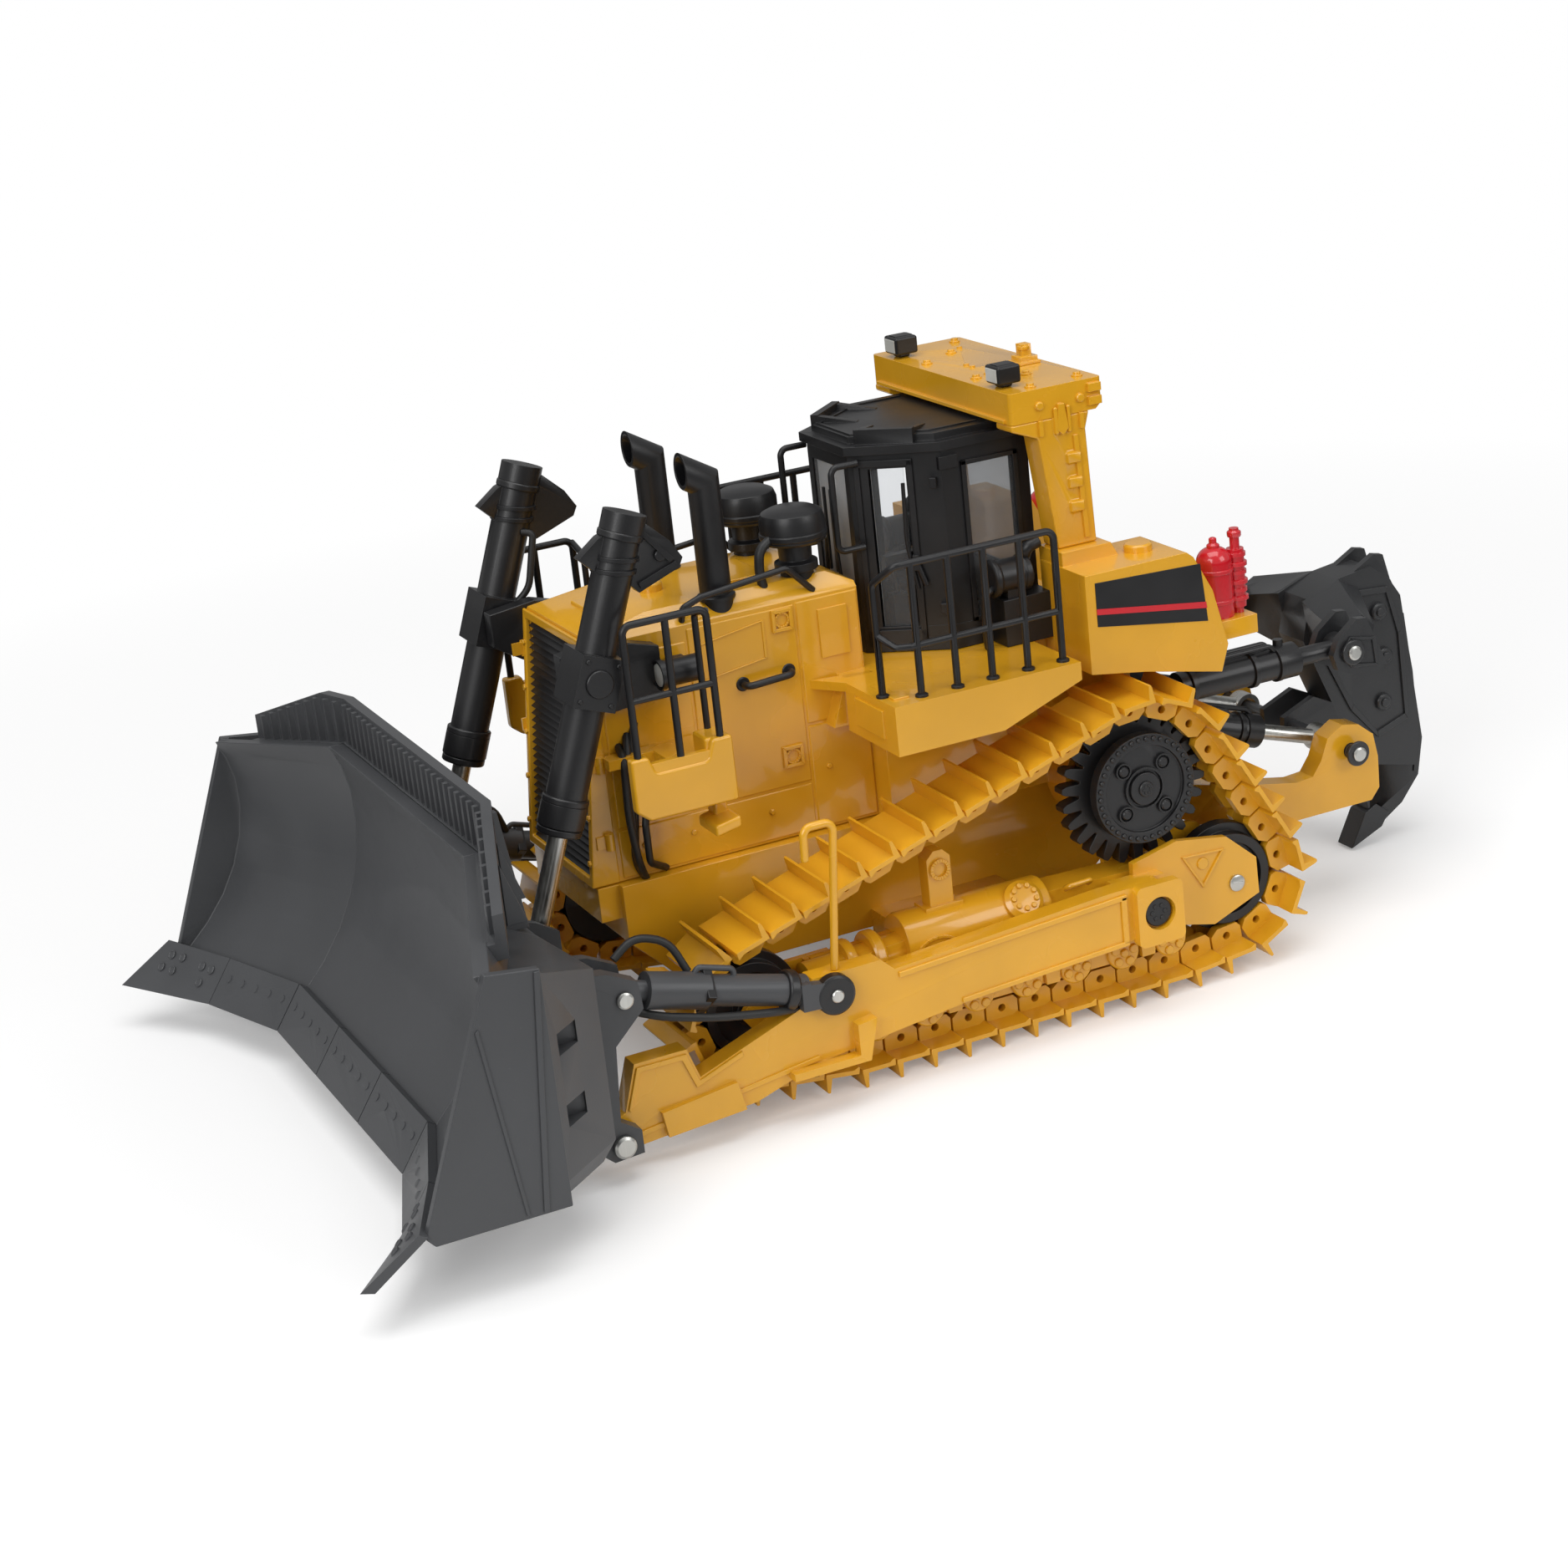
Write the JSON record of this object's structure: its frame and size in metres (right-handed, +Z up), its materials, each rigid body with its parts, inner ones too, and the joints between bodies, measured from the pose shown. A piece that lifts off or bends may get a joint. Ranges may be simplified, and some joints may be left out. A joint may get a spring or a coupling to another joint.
{
  "type": "toy crawler bulldozer",
  "caption": "Die-cast toy crawler bulldozer with a wide U-shaped blade, high-drive tracks, guarded cab, walkways and a single-shank rear ripper; blade and ripper lift.",
  "frame": {"origin": "on the floor under the middle of the overall box", "axes": "+X forward towards the blade, +Y to the machine's left, +Z up"},
  "size_m": [0.2139, 0.129, 0.0995],
  "materials": {
    "yellow_paint": "gloss amber-yellow paint over zinc die-casting",
    "grey_paint": "matte dark grey paint over zinc die-casting",
    "black_plastic": "satin black moulded plastic",
    "clear_window": "clear thin glazing",
    "steel_rod": "plain polished steel",
    "black_metal": "satin black paint over zinc die-casting",
    "red_gloss": "gloss red moulded plastic",
    "black_hose": "black hose"
  },
  "bodies": {
    "body": {"main_frame": "yellow_paint", "hood": "yellow_paint", "grille_frame": "yellow_paint", "radiator_grille": "black_plastic", "exhaust_stacks": "black_plastic", "precleaners": "black_plastic", "handrails": "black_plastic", "cab_walls": "black_plastic", "cab_pillars": "black_plastic", "cab_windows": "clear_window", "cab_roof": "black_plastic", "seat": "black_plastic", "control_console": "black_plastic", "rops_canopy": "yellow_paint", "rops_posts": "yellow_paint", "work_lamps": "black_plastic", "fenders": "yellow_paint", "railings": "black_plastic", "rear_tanks": "yellow_paint", "fire_extinguishers": "red_gloss", "front_steps": "yellow_paint", "step_cages": "black_plastic", "track_frames": "yellow_paint", "track_left": "yellow_paint", "track_right": "yellow_paint", "rear_bracket": "black_metal", "lift_yokes": "black_metal", "pivot_screws": "steel_rod", "hydraulic_hoses": "black_hose"},
    "left_drive": {"sprocket_left": "black_metal", "hub_cover_left": "black_metal"},
    "right_drive": {"sprocket_right": "black_metal", "hub_cover_right": "black_metal"},
    "left_front_wheel": {"front_idler_left": "black_metal"},
    "right_front_wheel": {"front_idler_right": "black_metal"},
    "left_rear_wheel": {"rear_idler_left": "black_metal"},
    "right_rear_wheel": {"rear_idler_right": "black_metal"},
    "blade": {"blade_centre": "grey_paint", "blade_wing_left": "grey_paint", "blade_wing_right": "grey_paint", "spill_guard": "grey_paint", "cutting_edges": "grey_paint", "blade_back": "grey_paint", "push_arm_left": "yellow_paint", "push_arm_right": "yellow_paint", "tilt_braces": "grey_paint", "step_loops": "yellow_paint"},
    "left_lift_barrel": {"lift_barrel_left": "black_metal"},
    "right_lift_barrel": {"lift_barrel_right": "black_metal"},
    "left_lift_rod": {"lift_rod_left": "steel_rod"},
    "right_lift_rod": {"lift_rod_right": "steel_rod"},
    "ripper_frame": {"ripper_arms": "yellow_paint"},
    "ripper_head": {"ripper_beam": "grey_paint", "ripper_shank": "grey_paint"},
    "left_pitch_link": {"pitch_link_left": "black_metal"},
    "right_pitch_link": {"pitch_link_right": "black_metal"},
    "left_ripper_barrel": {"ripper_barrel_left": "black_metal"},
    "right_ripper_barrel": {"ripper_barrel_right": "black_metal"},
    "left_ripper_rod": {"ripper_rod_left": "steel_rod"},
    "right_ripper_rod": {"ripper_rod_right": "steel_rod"}
  },
  "joints": [
    {"name": "left_sprocket_spin", "type": "hinge", "parent": "body", "child": "left_drive", "pos_m": [-0.0335, 0.0284, 0.034], "axis": [0, 1, 0], "continuous": true},
    {"name": "left_front_idler_spin", "type": "hinge", "parent": "body", "child": "left_front_wheel", "pos_m": [0.0344, 0.0284, 0.0157], "axis": [0, 1, 0], "continuous": true},
    {"name": "left_rear_idler_spin", "type": "hinge", "parent": "body", "child": "left_rear_wheel", "pos_m": [-0.0483, 0.0284, 0.0149], "axis": [0, 1, 0], "continuous": true},
    {"name": "right_sprocket_spin", "type": "hinge", "parent": "body", "child": "right_drive", "pos_m": [-0.0335, -0.0284, 0.034], "axis": [0, 1, 0], "continuous": true},
    {"name": "right_front_idler_spin", "type": "hinge", "parent": "body", "child": "right_front_wheel", "pos_m": [0.0344, -0.0284, 0.0157], "axis": [0, 1, 0], "continuous": true},
    {"name": "right_rear_idler_spin", "type": "hinge", "parent": "body", "child": "right_rear_wheel", "pos_m": [-0.0483, -0.0284, 0.0149], "axis": [0, 1, 0], "continuous": true},
    {"name": "blade_lift", "type": "hinge", "parent": "body", "child": "blade", "pos_m": [-0.03, 0, 0.0169], "axis": [0, -1, 0], "range_deg": [-2.1, 8]},
    {"name": "left_lift_swing", "type": "hinge", "parent": "body", "child": "left_lift_barrel", "pos_m": [0.0488, 0.0206, 0.0675], "axis": [0, -1, 0], "range_deg": [-1.19, 3.98]},
    {"name": "left_lift_stroke", "type": "slide", "parent": "left_lift_barrel", "child": "left_lift_rod", "axis": [0.3428, 0, -0.9394], "range_m": [-0.01312, 0.00367]},
    {"name": "right_lift_swing", "type": "hinge", "parent": "body", "child": "right_lift_barrel", "pos_m": [0.0488, -0.0206, 0.0675], "axis": [0, -1, 0], "range_deg": [-1.19, 3.98]},
    {"name": "right_lift_stroke", "type": "slide", "parent": "right_lift_barrel", "child": "right_lift_rod", "axis": [0.3428, 0, -0.9394], "range_m": [-0.01312, 0.00367]},
    {"name": "ripper_lift", "type": "hinge", "parent": "body", "child": "ripper_frame", "pos_m": [-0.045, 0, 0.0258], "axis": [0, 1, 0], "range_deg": [0, 20]},
    {"name": "ripper_head_pivot", "type": "hinge", "parent": "ripper_frame", "child": "ripper_head", "pos_m": [-0.0797, 0, 0.0258], "axis": [0, 1, 0], "range_deg": [-20.3, 0.3]},
    {"name": "left_pitch_link_swing", "type": "hinge", "parent": "body", "child": "left_pitch_link", "pos_m": [-0.045, 0.0182, 0.043], "axis": [0, 1, 0], "range_deg": [-0.3, 20.3]},
    {"name": "left_ripper_ram_swing", "type": "hinge", "parent": "body", "child": "left_ripper_barrel", "pos_m": [-0.045, 0.0114, 0.0372], "axis": [0, 1, 0], "range_deg": [-0.3, 19.13]},
    {"name": "left_ripper_ram_stroke", "type": "slide", "parent": "left_ripper_barrel", "child": "left_ripper_rod", "axis": [-0.95, 0, -0.3121], "range_m": [-0.0042, 0.0003]},
    {"name": "right_pitch_link_swing", "type": "hinge", "parent": "body", "child": "right_pitch_link", "pos_m": [-0.045, -0.0182, 0.043], "axis": [0, 1, 0], "range_deg": [-0.3, 20.3]},
    {"name": "right_ripper_ram_swing", "type": "hinge", "parent": "body", "child": "right_ripper_barrel", "pos_m": [-0.045, -0.0114, 0.0372], "axis": [0, 1, 0], "range_deg": [-0.3, 19.13]},
    {"name": "right_ripper_ram_stroke", "type": "slide", "parent": "right_ripper_barrel", "child": "right_ripper_rod", "axis": [-0.95, 0, -0.3121], "range_m": [-0.0042, 0.0003]}
  ],
  "couplings": [
    {"joint": "left_front_idler_spin", "follows": "left_sprocket_spin", "ratio": 1.358},
    {"joint": "left_rear_idler_spin", "follows": "left_sprocket_spin", "ratio": 1.3431},
    {"joint": "right_front_idler_spin", "follows": "right_sprocket_spin", "ratio": 1.358},
    {"joint": "right_rear_idler_spin", "follows": "right_sprocket_spin", "ratio": 1.3431},
    {"joint": "left_lift_swing", "follows": "blade_lift", "ratio": 0.47309},
    {"joint": "left_lift_stroke", "follows": "blade_lift", "m_per_rad": -0.091833},
    {"joint": "right_lift_swing", "follows": "blade_lift", "ratio": 0.47309},
    {"joint": "right_lift_stroke", "follows": "blade_lift", "m_per_rad": -0.091833},
    {"joint": "ripper_head_pivot", "follows": "ripper_lift", "ratio": -1},
    {"joint": "left_pitch_link_swing", "follows": "ripper_lift", "ratio": 1},
    {"joint": "left_ripper_ram_swing", "follows": "ripper_lift", "ratio": 0.94136},
    {"joint": "left_ripper_ram_stroke", "follows": "ripper_lift", "m_per_rad": -0.011163},
    {"joint": "right_pitch_link_swing", "follows": "ripper_lift", "ratio": 1},
    {"joint": "right_ripper_ram_swing", "follows": "ripper_lift", "ratio": 0.94136},
    {"joint": "right_ripper_ram_stroke", "follows": "ripper_lift", "m_per_rad": -0.011163}
  ]
}
